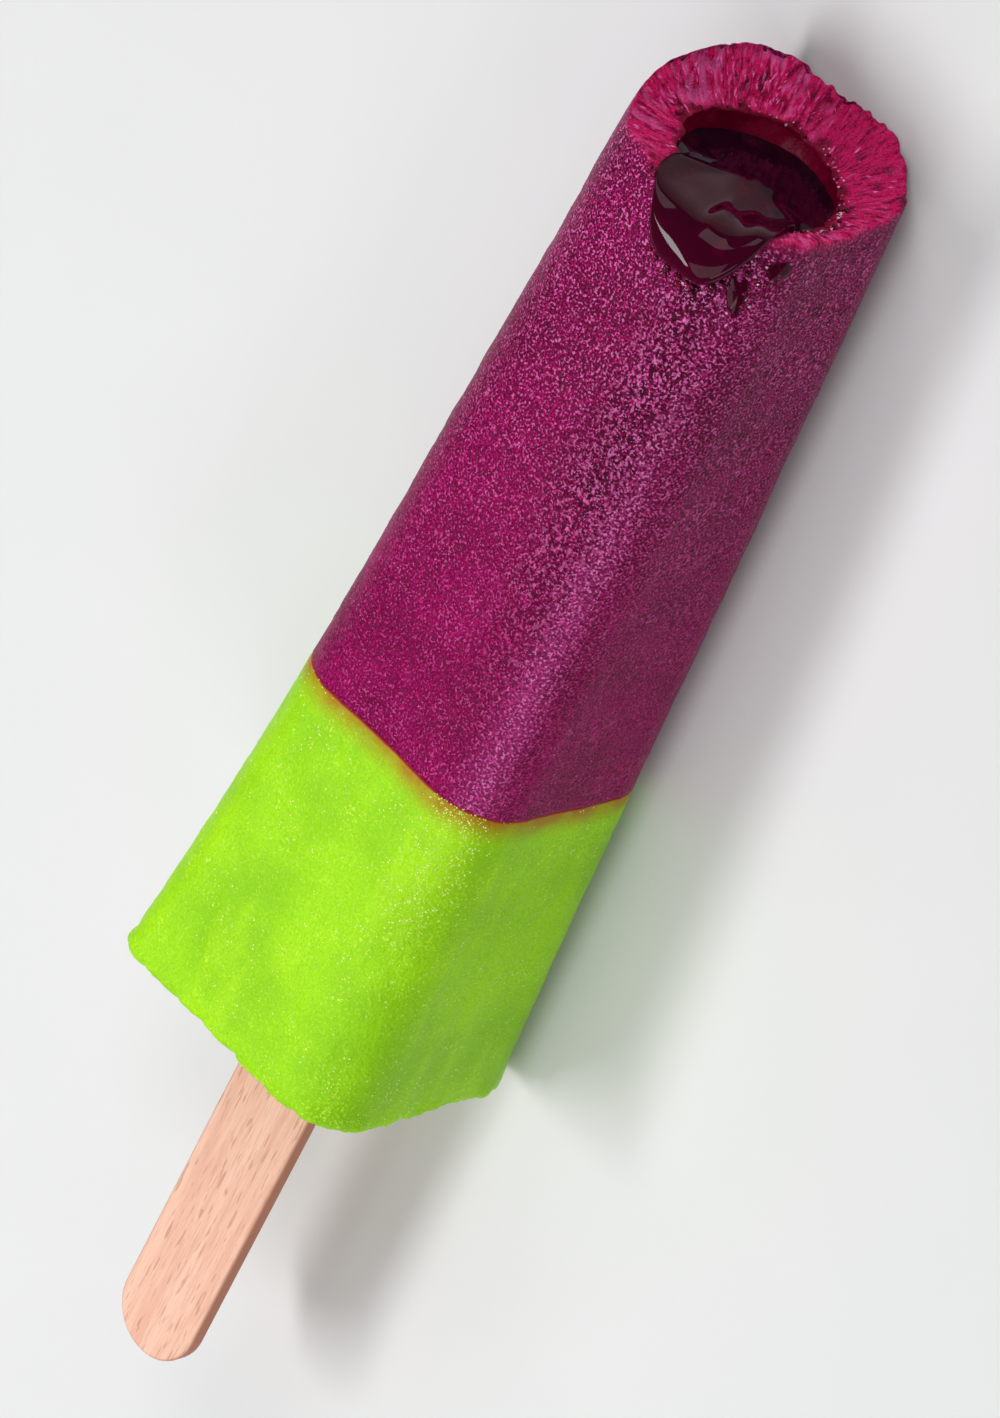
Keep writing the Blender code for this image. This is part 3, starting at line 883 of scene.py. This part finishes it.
@dataclass
class BerryIce:
    """The upper ice: its frosted skin, the bitten face and the core's hollow."""

    segments: int = 352
    skin_rows: int = 172
    bite_rows: int = 50
    wall_depths: tuple[float, ...] = (0.25, 0.6, 1.0, 1.5, 2.2, 3.2, 5.0)
    core_heights: tuple[float, ...] = (88.0, 74.0, 62.0, 58.0, 55.0, 53.6)
    groove: float = 0.46 * MM
    ridge_direction: float = math.radians(47)
    ridge_width: float = math.radians(6.5)
    band_direction: float = math.radians(60)
    band_width: float = math.radians(13)
    made: bpy.types.Object = field(init=False)

    def build(self) -> None:
        """Make the mesh."""
        a = directions(self.segments)
        ring_place = MOULD.place(a, 11 * MM, 0 * a)
        torn = around(((0, 1.6), (40, 0.6), (120, 0.8), (220, 1.2), (250, 2.4), (320, 3.0), (345, 2.4)), a)
        ragged = 0.22 * MM * lumps(ring_place, 1.6 * MM, 5) + 0.13 * MM * lumps(ring_place, 0.6 * MM, 6)
        ragged = ragged * torn
        rim = BITE.rim(a) + ragged
        hole_radius, hole_height = BITE.opening(a)
        covered = BITE.covered(a)
        open_edge = 0.28 * MM * (1 - 0.6 * covered)
        hole_radius = hole_radius + open_edge * lumps(ring_place, 1.0 * MM, 7)
        hole_height = hole_height + open_edge * lumps(ring_place, 1.4 * MM, 8)
        low = seam_height(a)

        shares = np.linspace(0, 1, self.skin_rows)[:, None]
        skin_t = mix(low, rim, shares)
        skin_r = MOULD.skin(a, skin_t)
        bite_shares = np.linspace(1, 0, self.bite_rows + 1)[1:, None]
        rim_r = MOULD.skin(a, rim)
        bite_r = mix(hole_radius, rim_r, bite_shares)
        bite_t = BITE.height(a, bite_shares) + mix(hole_height - BITE.opening(a)[1], ragged, bite_shares)
        radius = np.concatenate([skin_r, bite_r])
        height = np.concatenate([skin_t, bite_t])
        rows = slice(self.skin_rows - 3, self.skin_rows + 3)
        radius, height = relax(radius, 3, rows), relax(height, 3, rows)

        grid = MOULD.place(a, radius, height)
        normal = outward(grid)
        flat = np.concatenate([0 * shares + 1, 0 * bite_shares]) + 0 * a
        flat = relax(flat, 4)
        relief = skin_relief(grid, flat)
        depth = np.concatenate([0 * shares, bite_shares]) + 0 * a
        streaks = self.streak_places(a, radius, height)
        ribs = 1 - np.abs(lumps(streaks, 1.3 * MM, 11)) * 2
        fine_ribs = 1 - np.abs(lumps(streaks, 0.45 * MM, 12)) * 2
        chips = lumps(grid, 1.1 * MM, 13)
        strength = self.needle_strength(a)
        crystals = (ribs * 0.65 + fine_ribs * 0.45) * mix(0.35, 1.0, strength) + chips * 0.45
        bite_relief = self.groove * crystals * (1 - covered * 0.75)
        # peaks also colours the bite: its low parts are painted darker as shade.
        peaks = np.clip(0.5 + 0.5 * crystals, 0, 1)
        relief += bite_relief * (1 - flat) * smooth(depth * 6) * smooth((1 - depth) * 8 + 0.25)
        grid = grid + normal * relief[..., None]

        shell = Shell("berry_ice_frosted")
        crystal_cover = (1 - flat) * (strength + 0.1) * smooth((0.94 - depth) * 7)
        sauce_near = self.wetness(a, radius, height)
        crystal_cover = crystal_cover * (1 - sauce_near)
        bitten = 1 - relax(flat, 1)
        inward = MOULD.place(a, radius - 1 * MM, height) - MOULD.place(a, radius, height)
        plain = {"bitten": 1, "wet": 1, "needles": 0, "frosted": 0, "crystals": 0, "beads": 0,
                 "peaks": 0.4, "rise": 1, "ridge_highlight": 0, "coarse": 0, "inward": np.array([0, 0, 1.0])}
        shell.ring(MOULD.pole(low[0]), **plain, streak=np.zeros(3))
        # Mask of the painted highlight along the front-right ridge, fading towards the bite.
        ridge_highlight = hump(a, self.ridge_direction, self.ridge_width)
        band = hump(a, self.band_direction, self.band_width)
        for row in range(len(grid)):
            on_bite = row >= self.skin_rows
            shell.ring(
                grid[row], bitten=bitten[row], wet=sauce_near[row],
                needles=strength * smooth(depth[row] * 3),
                frosted=0.0 if on_bite else self.frost_cover(grid[row]) * (1 - sauce_near[row]),
                crystals=crystal_cover[row],
                peaks=peaks[row],
                beads=self.bead_cover(a, height[row], sauce_near[row], on_bite),
                ridge_highlight=ridge_highlight * smooth((100 - height[row] / MM) / 45),
                # rise: frost specks grow denser and their gaps darker towards the top, partly as painted
                # sheen on the upper skin.
                rise=smooth((height[row] / MM - 42) / 50),
                coarse=band * smooth((height[row] / MM - 38) / 40),
                streak=streaks[row], inward=inward[row],
            )
        for drop in self.wall_depths:
            t = hole_height - drop * MM
            radius = BITE.core(a, t) + (hole_radius - BITE.opening(a)[0]) * max(0, 1 - drop / 2)
            places = MOULD.place(a, radius, t)
            radius = radius + 0.12 * MM * lumps(places, 0.9 * MM, 9)
            shell.ring(MOULD.place(a, radius, t), **plain, streak=self.streak_places(a, radius, t))
        for t in self.core_heights:
            level = 0 * a + t * MM
            shell.ring(MOULD.place(a, BITE.core(a, level), level), **plain, streak=np.zeros(3))
        shell.ring(MOULD.pole(BITE.core_bottom), **plain, streak=np.zeros(3))
        self.made = shell.build()

    @staticmethod
    def streak_places(a: np.ndarray, radius: np.ndarray, height: np.ndarray) -> np.ndarray:
        """Return places that are drawn out along the bite, so that noise on them runs inwards."""
        mean = 10 * MM
        return np.stack(np.broadcast_arrays(
            np.cos(a) * mean, np.sin(a) * mean, (radius + height) * 0.16,
        ), axis=-1)

    @staticmethod
    def needle_strength(a: np.ndarray) -> np.ndarray:
        """Return how clearly ice needles show in each direction: less on the right scallop."""
        return around(((0, 0.75), (30, 0.9), (80, 0.3), (130, 0.8), (180, 1.0), (235, 1.0),
                       (252, 0.5), (275, 0.15), (310, 0.3), (335, 0.6)), a)

    @staticmethod
    def wetness(a: np.ndarray, radius: np.ndarray, height: np.ndarray) -> np.ndarray:
        """Return how wet with sauce the ice is, from 0 to 1."""
        edge_radius, edge_height = BITE.opening(a)
        ring = MOULD.place(a, radius, height)
        near = (radius - edge_radius) / MM + 0.5 * lumps(ring, 1.2 * MM, 21)
        on_bite = height > edge_height - 0.5 * MM
        inner = smooth(1.15 - near / mix(0.8, 1.6, smooth(np.cos(a - math.radians(10)))))
        return np.where(on_bite, inner, 0.0)

    @staticmethod
    def bead_cover(a: np.ndarray, height: np.ndarray, wet: np.ndarray, on_bite: bool) -> np.ndarray:
        """Return where small beads of sauce sit: round the opening and beside the drip."""
        if on_bite:
            side = around(((0, 1.0), (45, 1.0), (75, 0.0), (150, 0.1), (240, 0.35), (300, 0.8)), a)
            return side * smooth(wet * 2.5) * smooth((1.02 - wet) * 12)
        line = hump(a, math.radians(43), math.radians(5))
        line = line * smooth((height / MM - 90) / 4) * 0.6
        reach = around(BITE.sauce_reach, a)
        end = mix(BITE.rim(a), BITE.drip_tip, np.clip(reach - 2, 0, 1))
        beside = np.exp(-(((height - end) / MM + 0.45) / 0.45) ** 2) * smooth((reach - 1.6) * 3)
        return np.maximum(line, beside)

    @staticmethod
    def frost_cover(places: np.ndarray) -> np.ndarray:
        """Return how thickly frost lies at places on the skin."""
        cover = 0.5 + 0.5 * lumps(places, 5 * MM, 31) + 0.3 * lumps(places, 1.8 * MM, 32)
        return np.clip(cover, 0.05, 1)


def seam_height(a: np.ndarray) -> np.ndarray:
    """Return the height of the line between the two ices, which is a little wavy."""
    ring = MOULD.place(a, 13 * MM, 0 * a)
    return MOULD.lime_height + 0.22 * MM * lumps(ring, 6 * MM, 41) + 0.07 * MM * lumps(ring, 1.5 * MM, 42)


@dataclass
class LimeIce:
    """The lower ice, with its crinkled base edge."""

    segments: int = 352
    rows: int = 104
    fillet_rows: int = 8
    ridge_direction: float = math.radians(49)
    ridge_width: float = math.radians(9)
    made: bpy.types.Object = field(init=False)

    def build(self) -> None:
        """Make the mesh."""
        a = directions(self.segments)
        fillet = MOULD.base_fillet
        turns = np.linspace(0, math.pi / 2, self.fillet_rows)[:, None]
        inset = fillet * (1 - np.sin(turns)) + 0 * a
        fillet_t = fillet * (1 - np.cos(turns)) + 0 * a
        side_t = mix(fillet, seam_height(a), np.linspace(0, 1, self.rows)[1:, None])
        height = np.concatenate([fillet_t, side_t])
        radius = MOULD.skin(a, height, np.concatenate([inset, 0 * side_t]))
        base_rows = np.linspace(0.12, 0.97, 22)[:, None]
        radius = np.concatenate([radius[:1] * base_rows, radius])
        height = np.concatenate([0 * base_rows * a, height])
        grid = MOULD.place(a, radius, height)
        normal = outward(grid)
        relief = skin_relief(grid)
        low = smooth(1 - height / (3.0 * MM))
        crinkle = 0.30 * MM * lumps(grid, 1.5 * MM, 51) + 0.16 * MM * lumps(grid, 0.7 * MM, 52)
        relief += crinkle * low - 0.12 * MM * low
        grid = grid + normal * relief[..., None]
        shell = Shell("lime_ice_frosted")
        shell.ring(MOULD.pole(0.0), below=0.03, frosted=0, ridge_highlight=0)
        # Mask of the painted highlight along the front-right ridge; it also heaps pale frost pieces there
        # as partly painted sparkle.
        corner = hump(a, self.ridge_direction, self.ridge_width)
        for row in range(len(grid)):
            ridge_highlight = corner * smooth((height[row] / MM - 16) / 14)
            cover = np.clip(0.35 + 0.6 * lumps(grid[row], 4 * MM, 61), 0.02, 1) + 6.0 * ridge_highlight
            shell.ring(grid[row], below=seam_height(a) - height[row], frosted=cover, ridge_highlight=ridge_highlight)
        shell.ring(MOULD.pole(MOULD.lime_height), below=0, frosted=0, ridge_highlight=0)
        self.made = shell.build()


@dataclass
class Sauce:
    """The sauce in the core and its drip over the bite's front edge."""

    segments: int = 288
    rows: int = 72
    film: float = 0.8 * MM
    thickness: float = 1.9 * MM
    drip_middle: float = math.radians(71)
    drip_spread: float = math.radians(27)
    gap: float = 0.05 * MM
    let_in: float = 0.7 * MM
    core_heights: tuple[float, ...] = (80.0, 62.0, 57.0, 54.0)
    made: bpy.types.Object = field(init=False)

    def path(self, a: np.ndarray, reach: np.ndarray) -> tuple[np.ndarray, np.ndarray, np.ndarray]:
        """Return the distance, height and facing of the ice where the sauce has run to."""
        edge_radius, edge_height = BITE.opening(a)
        rim = BITE.rim(a)
        wall_t = mix(np.minimum(BITE.sauce_level, edge_height), edge_height, np.minimum(reach, 1))
        wall_r = BITE.core(a, np.minimum(wall_t, edge_height)) - self.gap
        share = np.clip(reach - 1, 0, 1)
        top_r = mix(edge_radius - self.gap, MOULD.skin(a, rim) + self.gap, share)
        top_t = BITE.height(a, share) + self.gap
        side_t = mix(rim + self.gap, BITE.drip_tip, np.clip(reach - 2, 0, 1))
        side_r = MOULD.skin(a, side_t) + self.gap
        radius = np.where(reach <= 1, wall_r, np.where(reach <= 2, top_r, side_r))
        t = np.where(reach <= 1, wall_t, np.where(reach <= 2, top_t, side_t))
        facing = mix(180, 90, smooth((reach - 0.7) / 0.6)) - 90 * smooth((reach - 1.7) / 0.6)
        return radius, t, np.radians(facing)

    def guides(self, a: np.ndarray) -> np.ndarray:
        """Return the points that shape the surface in each direction, from its end to the middle."""
        ring = MOULD.place(a, 11 * MM, 0 * a)
        reach = around(BITE.sauce_reach, a)
        reach = reach + 0.05 * lumps(ring, 1.2 * MM, 71) * smooth(reach)
        turn = turn_from(a, self.drip_middle)
        drip = np.sqrt(np.maximum(0.0, 1 - (turn / self.drip_spread) ** 2))
        thickness = mix(self.film, self.thickness, drip)
        lip, low = np.minimum(reach, 2), np.minimum(reach, 1) ** 2
        over = (
            (reach, 0), (mix(reach, low, 0.05), 0.75), (mix(reach, lip, 0.5), 1.1), (lip, 0.85),
            (mix(lip, low, 0.4), 0.85), (mix(lip, low, 0.8), 0.9), (low, 1),
        )
        pool = BITE.core(a, BITE.sauce_level - BITE.core_throat + 0 * a) - self.gap
        start_radius, start_height, _ = self.path(a, reach)
        run = smooth(reach)
        points = []
        for step, (place, proud) in enumerate(over):
            radius, t, facing = self.path(a, place)
            radius = radius + thickness * proud * np.cos(facing)
            t = t + thickness * proud * np.sin(facing)
            flat = step / (len(over) + 2)
            level = BITE.sauce_level + (start_height - BITE.sauce_level) * (1 - flat) ** 6
            if step > 2:
                t = np.maximum(t, BITE.sauce_level - 0.12 * MM * (6 - step))
            points.append((mix(start_radius * (1 - flat), radius, run), mix(level, t, run)))
        points += [(pool * share, BITE.sauce_level + 0 * a) for share in (0.55, 0.27, 0)]
        grid = np.array(points)
        for _ in range(8):
            beside = np.roll(grid[1:], 1, axis=-1) + np.roll(grid[1:], -1, axis=-1)
            grid[1:] = (grid[1:] * 2 + beside) / 4
        return grid

    def surface(self, guides: np.ndarray, share: float) -> tuple[np.ndarray, np.ndarray]:
        """Return the open surface's distances and heights at a share of the way inwards."""
        ends = np.concatenate([guides[:1], guides[:1], guides, guides[-1:], guides[-1:]])
        spans = len(ends) - 3
        span = min(int(share * spans), spans - 1)
        s = share * spans - span
        weights = (
            (1 - s) ** 3 / 6, (3 * s ** 3 - 6 * s ** 2 + 4) / 6,
            (-3 * s ** 3 + 3 * s ** 2 + 3 * s + 1) / 6, s ** 3 / 6,
        )
        radius, t = sum(w * point for w, point in zip(weights, ends[span:span + 4]))
        return radius, t

    def build(self) -> None:
        """Make the mesh."""
        a = directions(self.segments)
        guides = self.guides(a)
        reach = around(BITE.sauce_reach, a)
        shell = Shell("berry_sauce_wet")
        shell.ring(MOULD.pole(BITE.sauce_level), thin=0)
        for share in np.linspace(1, 0, self.rows)[1:]:
            radius, t = self.surface(guides, share)
            thin = smooth(reach - 0.9) * (0.35 + 0.65 * (1 - smooth(share * 3)))
            shell.ring(MOULD.place(a, radius, t), thin=np.clip(thin, 0, 1))
        radius, t, facing = self.path(a, reach)
        inner_r = radius - self.let_in * np.cos(facing)
        inner_t = t - self.let_in * np.sin(facing)
        shell.ring(MOULD.place(a, inner_r, inner_t), thin=0)
        wall = BITE.core(a, 90 * MM + 0 * a) + 0.2 * MM
        shell.ring(MOULD.place(a, wall, np.minimum(inner_t, 96 * MM) - 1.5 * MM), thin=0)
        for t in self.core_heights:
            shell.ring(MOULD.place(a, BITE.core(a, t * MM + 0 * a) + 0.1 * MM, t * MM), thin=0)
        shell.ring(MOULD.pole(BITE.core_bottom - 0.1 * MM), thin=0)
        self.made = shell.build()


@dataclass(frozen=True)
class Stain:
    """A thin splash of sauce that lies on the frosted skin."""

    name: str
    direction: float
    height: float
    across: float
    along: float
    lean: float = 0.0
    thickness: float = 0.32 * MM
    seed: int = 81
    segments: int = 48
    rows: int = 10

    def build(self) -> bpy.types.Object:
        """Return the mesh: a low dome with a ragged outline, let a little into the skin."""
        turns = directions(self.segments)
        circle = np.stack([np.cos(turns), np.sin(turns), 0 * turns], axis=-1)
        outline = 1 + 0.28 * lumps(circle, 0.7, self.seed) + 0.16 * lumps(circle, 0.3, self.seed + 1)
        shell = Shell(self.name)

        def ring(share: float, proud: float) -> None:
            """Add a ring at a share of the outline and a height over the skin."""
            wide = outline * share * self.across * np.cos(turns)
            long = outline * share * self.along * np.sin(turns)
            wide = wide + self.lean * long
            t = self.height + long
            base = MOULD.skin(math.radians(self.direction), t)
            a = math.radians(self.direction) + wide / base
            shell.ring(MOULD.place(a, MOULD.skin(a, t) + proud, t), thin=0.5)

        ring(0.02, self.thickness)
        for share in np.linspace(0.1, 1, self.rows):
            ring(share, self.thickness * math.sqrt(1 - share ** 2 * 0.98) - 0.04 * MM)
        ring(0.8, -0.3 * MM)
        ring(0.02, -0.3 * MM)
        return shell.build()


@dataclass
class Stick:
    """The flat wooden stick with its round ends."""

    length: float = 93.0 * MM
    width: float = 10.0 * MM
    thickness: float = 1.8 * MM
    ease: float = 0.3 * MM
    offset: float = 0.4 * MM
    steps: int = 28
    made: bpy.types.Object = field(init=False)

    def outline(self, inset: float, front: float) -> np.ndarray:
        """Return the places of one ring around the stick's edge.

        Args:
            inset: How far inside the full outline.
            front: How far in front of the stick's middle.

        Returns:
            The places.
        """
        turns = np.concatenate([np.linspace(0, 180, self.steps), np.linspace(180, 360, self.steps)])
        turns = np.radians(turns)
        half = self.width / 2
        far = np.repeat([self.length - self.width, 0], self.steps)
        t = half - MOULD.bare_stick + far + (half - inset) * np.sin(turns)
        right = (half - inset) * np.cos(turns)
        height = front + self.offset + 0 * t
        return MOULD.place(np.arctan2(height, right), np.hypot(height, right), t)

    def build(self) -> None:
        """Make the mesh, with its faces cut into strips so that it keeps its edges."""
        half = self.thickness / 2
        shell = Shell("stick_beech")
        middle = MOULD.bare_stick - self.length / 2
        for side in (-1, 1):
            rings = [(inset * MM, side * half, 0.0) for inset in (4.8, 3.5, 2.2, 1.0)]
            arc = [
                (self.ease * (1 - math.sin(turn)), side * (half - self.ease * (1 - math.cos(turn))))
                for turn in np.linspace(0, math.pi / 2, 5)
            ]
            # The third value darkens the wood on the rounded sides, partly as painted shade.
            rings += [(inset, front, step / 4) for step, (inset, front) in enumerate(arc)]
            centre = np.array(MOULD.bare_place(0.0, side * half + self.offset, -middle))
            if side < 0:
                shell.ring(centre, side=0)
            for inset, front, edge in rings if side < 0 else reversed(rings):
                shell.ring(self.outline(inset, front), side=edge)
            if side > 0:
                shell.ring(centre, side=0)
        self.made = shell.build()


STAINS = (
    Stain("stain_blot", 35.0, 97.3 * MM, 1.1 * MM, 1.0 * MM, 0.0, seed=81),
    Stain("stain_smear", 45.5, 93.8 * MM, 1.0 * MM, 2.0 * MM, 0.35, seed=93),
)
SKIN_FROST = Scatter("skin_frost", 2.0e6, 0.08 * MM, mask="frosted", seed=3)
NEEDLES = Scatter(
    "bite_needles", 0.9e6, 0.36 * MM, (0.4, 1.7), (1.0, 0.30, 0.22), "crystals", 5, follow="inward"
)
BEADS = Scatter("sauce_beads", 1.6e6, 0.28 * MM, (0.4, 1.4), (1.0, 1.0, 0.75), "beads", 9, detail=2)
GLINTS = Scatter("wet_glints", 4.5e6, 0.15 * MM, (0.4, 1.6), (1.0, 0.7, 0.6), "beads", 11)
LIME_FROST = Scatter("lime_frost", 1.6e6, 0.11 * MM, mask="frosted", seed=13)

PINK_FROST = PlainFinish("frost_pink", (0.66, 0.20, 0.48), (0.42, 0.05, 0.25), 0.20)
PINK_NEEDLE = PlainFinish("needle_pink", (0.95, 0.16, 0.52), (0.70, 0.01, 0.18), 0.12)
RED_BEAD = PlainFinish("bead_red", (0.16, 0.0, 0.030), (0.06, 0.0, 0.012), 0.05)
PINK_GLINT = PlainFinish("glint_pink", (0.95, 0.55, 0.78), (0.55, 0.06, 0.26), 0.06)
GREEN_FROST = PlainFinish("frost_lime", (0.82, 0.95, 0.30), (0.50, 0.82, 0.10), 0.22)


# ---------------------------------------------------------------- studio


@dataclass(frozen=True)
class Lamp:
    """A soft rectangular lamp, placed by the direction that it shines from."""

    name: str
    azimuth: float
    elevation: float
    distance: float
    width: float
    height: float
    power: float
    colour: Colour = (1.0, 1.0, 1.0)

    def add(self, target: Vector) -> None:
        """Add the lamp, turned towards the target."""
        a, e = math.radians(self.azimuth), math.radians(self.elevation)
        toward = Vector((math.sin(a) * math.cos(e), -math.cos(a) * math.cos(e), math.sin(e)))
        light = bpy.data.lights.new(self.name, "AREA")
        light.shape, light.size, light.size_y = "RECTANGLE", self.width, self.height
        light.energy, light.color = self.power, self.colour
        lamp = bpy.data.objects.new(self.name, light)
        lamp.location = target + toward * self.distance
        lamp.rotation_euler = toward.to_track_quat("Z", "Y").to_euler()
        bpy.context.scene.collection.objects.link(lamp)


@dataclass(frozen=True)
class Studio:
    """A pale floor, soft lamps and the camera."""

    target: tuple[float, float, float] = (10.2 * MM, -3.8 * MM, 16.7 * MM)
    azimuth: float = 49.36
    elevation: float = 47.54
    distance: float = 0.700
    lens: float = 193.1
    roll: float = 104.18
    floor_size: float = 6.0
    lamps: tuple[Lamp, ...] = (
        Lamp("key", -60, 62, 0.80, 0.60, 0.60, 2.8),
        Lamp("ridge_highlight", -35, 34, 0.55, 0.30, 0.08, 0.45),
        Lamp("drip", 212, 62, 0.60, 0.34, 0.070, 1.9),
        Lamp("fill", 98, 32, 0.90, 0.60, 0.60, 3.6),
    )

    def build(self) -> None:
        """Make the floor, the lamps, the world and the camera."""
        mesh = bpy.data.meshes.new("studio_floor")
        half = self.floor_size / 2
        mesh.from_pydata(
            [(-half, -half, 0), (half, -half, 0), (half, half, 0), (-half, half, 0)], [], [(0, 1, 2, 3)]
        )
        floor = bpy.data.objects.new("studio_floor", mesh)
        bpy.context.scene.collection.objects.link(floor)
        f = Finish("floor_paper")
        grain = f.noise(f.place(), 0.02, 2.0)
        mesh.materials.append(f.surface({
            "Base Color": f.blend(grain, (0.72, 0.72, 0.725), (0.74, 0.74, 0.745)), "Roughness": 0.9,
            "Specular IOR Level": 0.2,
        }))
        target = Vector(self.target)
        for lamp in self.lamps:
            lamp.add(target)
        world = bpy.data.worlds.new("studio")
        world.use_nodes = True
        world.node_tree.nodes["Background"].inputs["Color"].default_value = (0.75, 0.76, 0.78, 1)
        world.node_tree.nodes["Background"].inputs["Strength"].default_value = 0.12
        bpy.context.scene.world = world
        self.add_camera(target)
        bpy.context.scene.view_settings.view_transform = "Standard"

    def add_camera(self, target: Vector) -> None:
        """Add the camera that looks at the target."""
        a, e = math.radians(self.azimuth), math.radians(self.elevation)
        back = Vector((math.sin(a) * math.cos(e), -math.cos(a) * math.cos(e), math.sin(e)))
        right = Vector((0, 0, 1)).cross(back).normalized()
        turn = Matrix.Rotation(-math.radians(self.roll), 3, back)
        right, up = turn @ right, turn @ back.cross(right)
        eye = bpy.data.cameras.new("camera")
        eye.lens, eye.sensor_width, eye.clip_start = self.lens, 36.0, 0.01
        camera = bpy.data.objects.new("camera", eye)
        pose = Matrix((right, up, back)).transposed().to_4x4()
        pose.translation = target + back * self.distance
        camera.matrix_world = pose
        bpy.context.scene.collection.objects.link(camera)
        bpy.context.scene.camera = camera


def main() -> None:
    """Build the lolly's pieces and the studio."""
    logging.basicConfig(level=logging.INFO, format="%(name)s: %(message)s")
    berry = BerryIce()
    berry.build()
    berry.made.data.materials.append(BerryFinish().make())
    hand_in(berry.made, Slot.BERRY, "berry_ice")

    lime = LimeIce()
    lime.build()
    lime.made.data.materials.append(LimeFinish().make())
    hand_in(lime.made, Slot.LIME, "lime_ice")

    sauce = Sauce()
    sauce.build()
    wet = SauceFinish().make()
    sauce.made.data.materials.append(wet)
    hand_in(sauce.made, Slot.SAUCE, "berry_sauce")
    for stain in STAINS:
        made = stain.build()
        made.data.materials.append(wet)
        hand_in(made, Slot.SAUCE)

    for host, slot, scatter, finish in (
        (berry, Slot.BERRY, SKIN_FROST, PINK_FROST),
        (berry, Slot.BERRY, NEEDLES, PINK_NEEDLE),
        (berry, Slot.SAUCE, BEADS, RED_BEAD),
        (berry, Slot.BERRY, GLINTS, PINK_GLINT),
        (lime, Slot.LIME, LIME_FROST, GREEN_FROST),
    ):
        hand_in(scatter.strew(host.made, finish.make()), slot)

    stick = Stick()
    stick.build()
    stick.made.data.materials.append(WoodFinish().make())
    hand_in(stick.made, Slot.STICK, "stick")

    Studio().build()


if __name__ == "__main__":
    main()
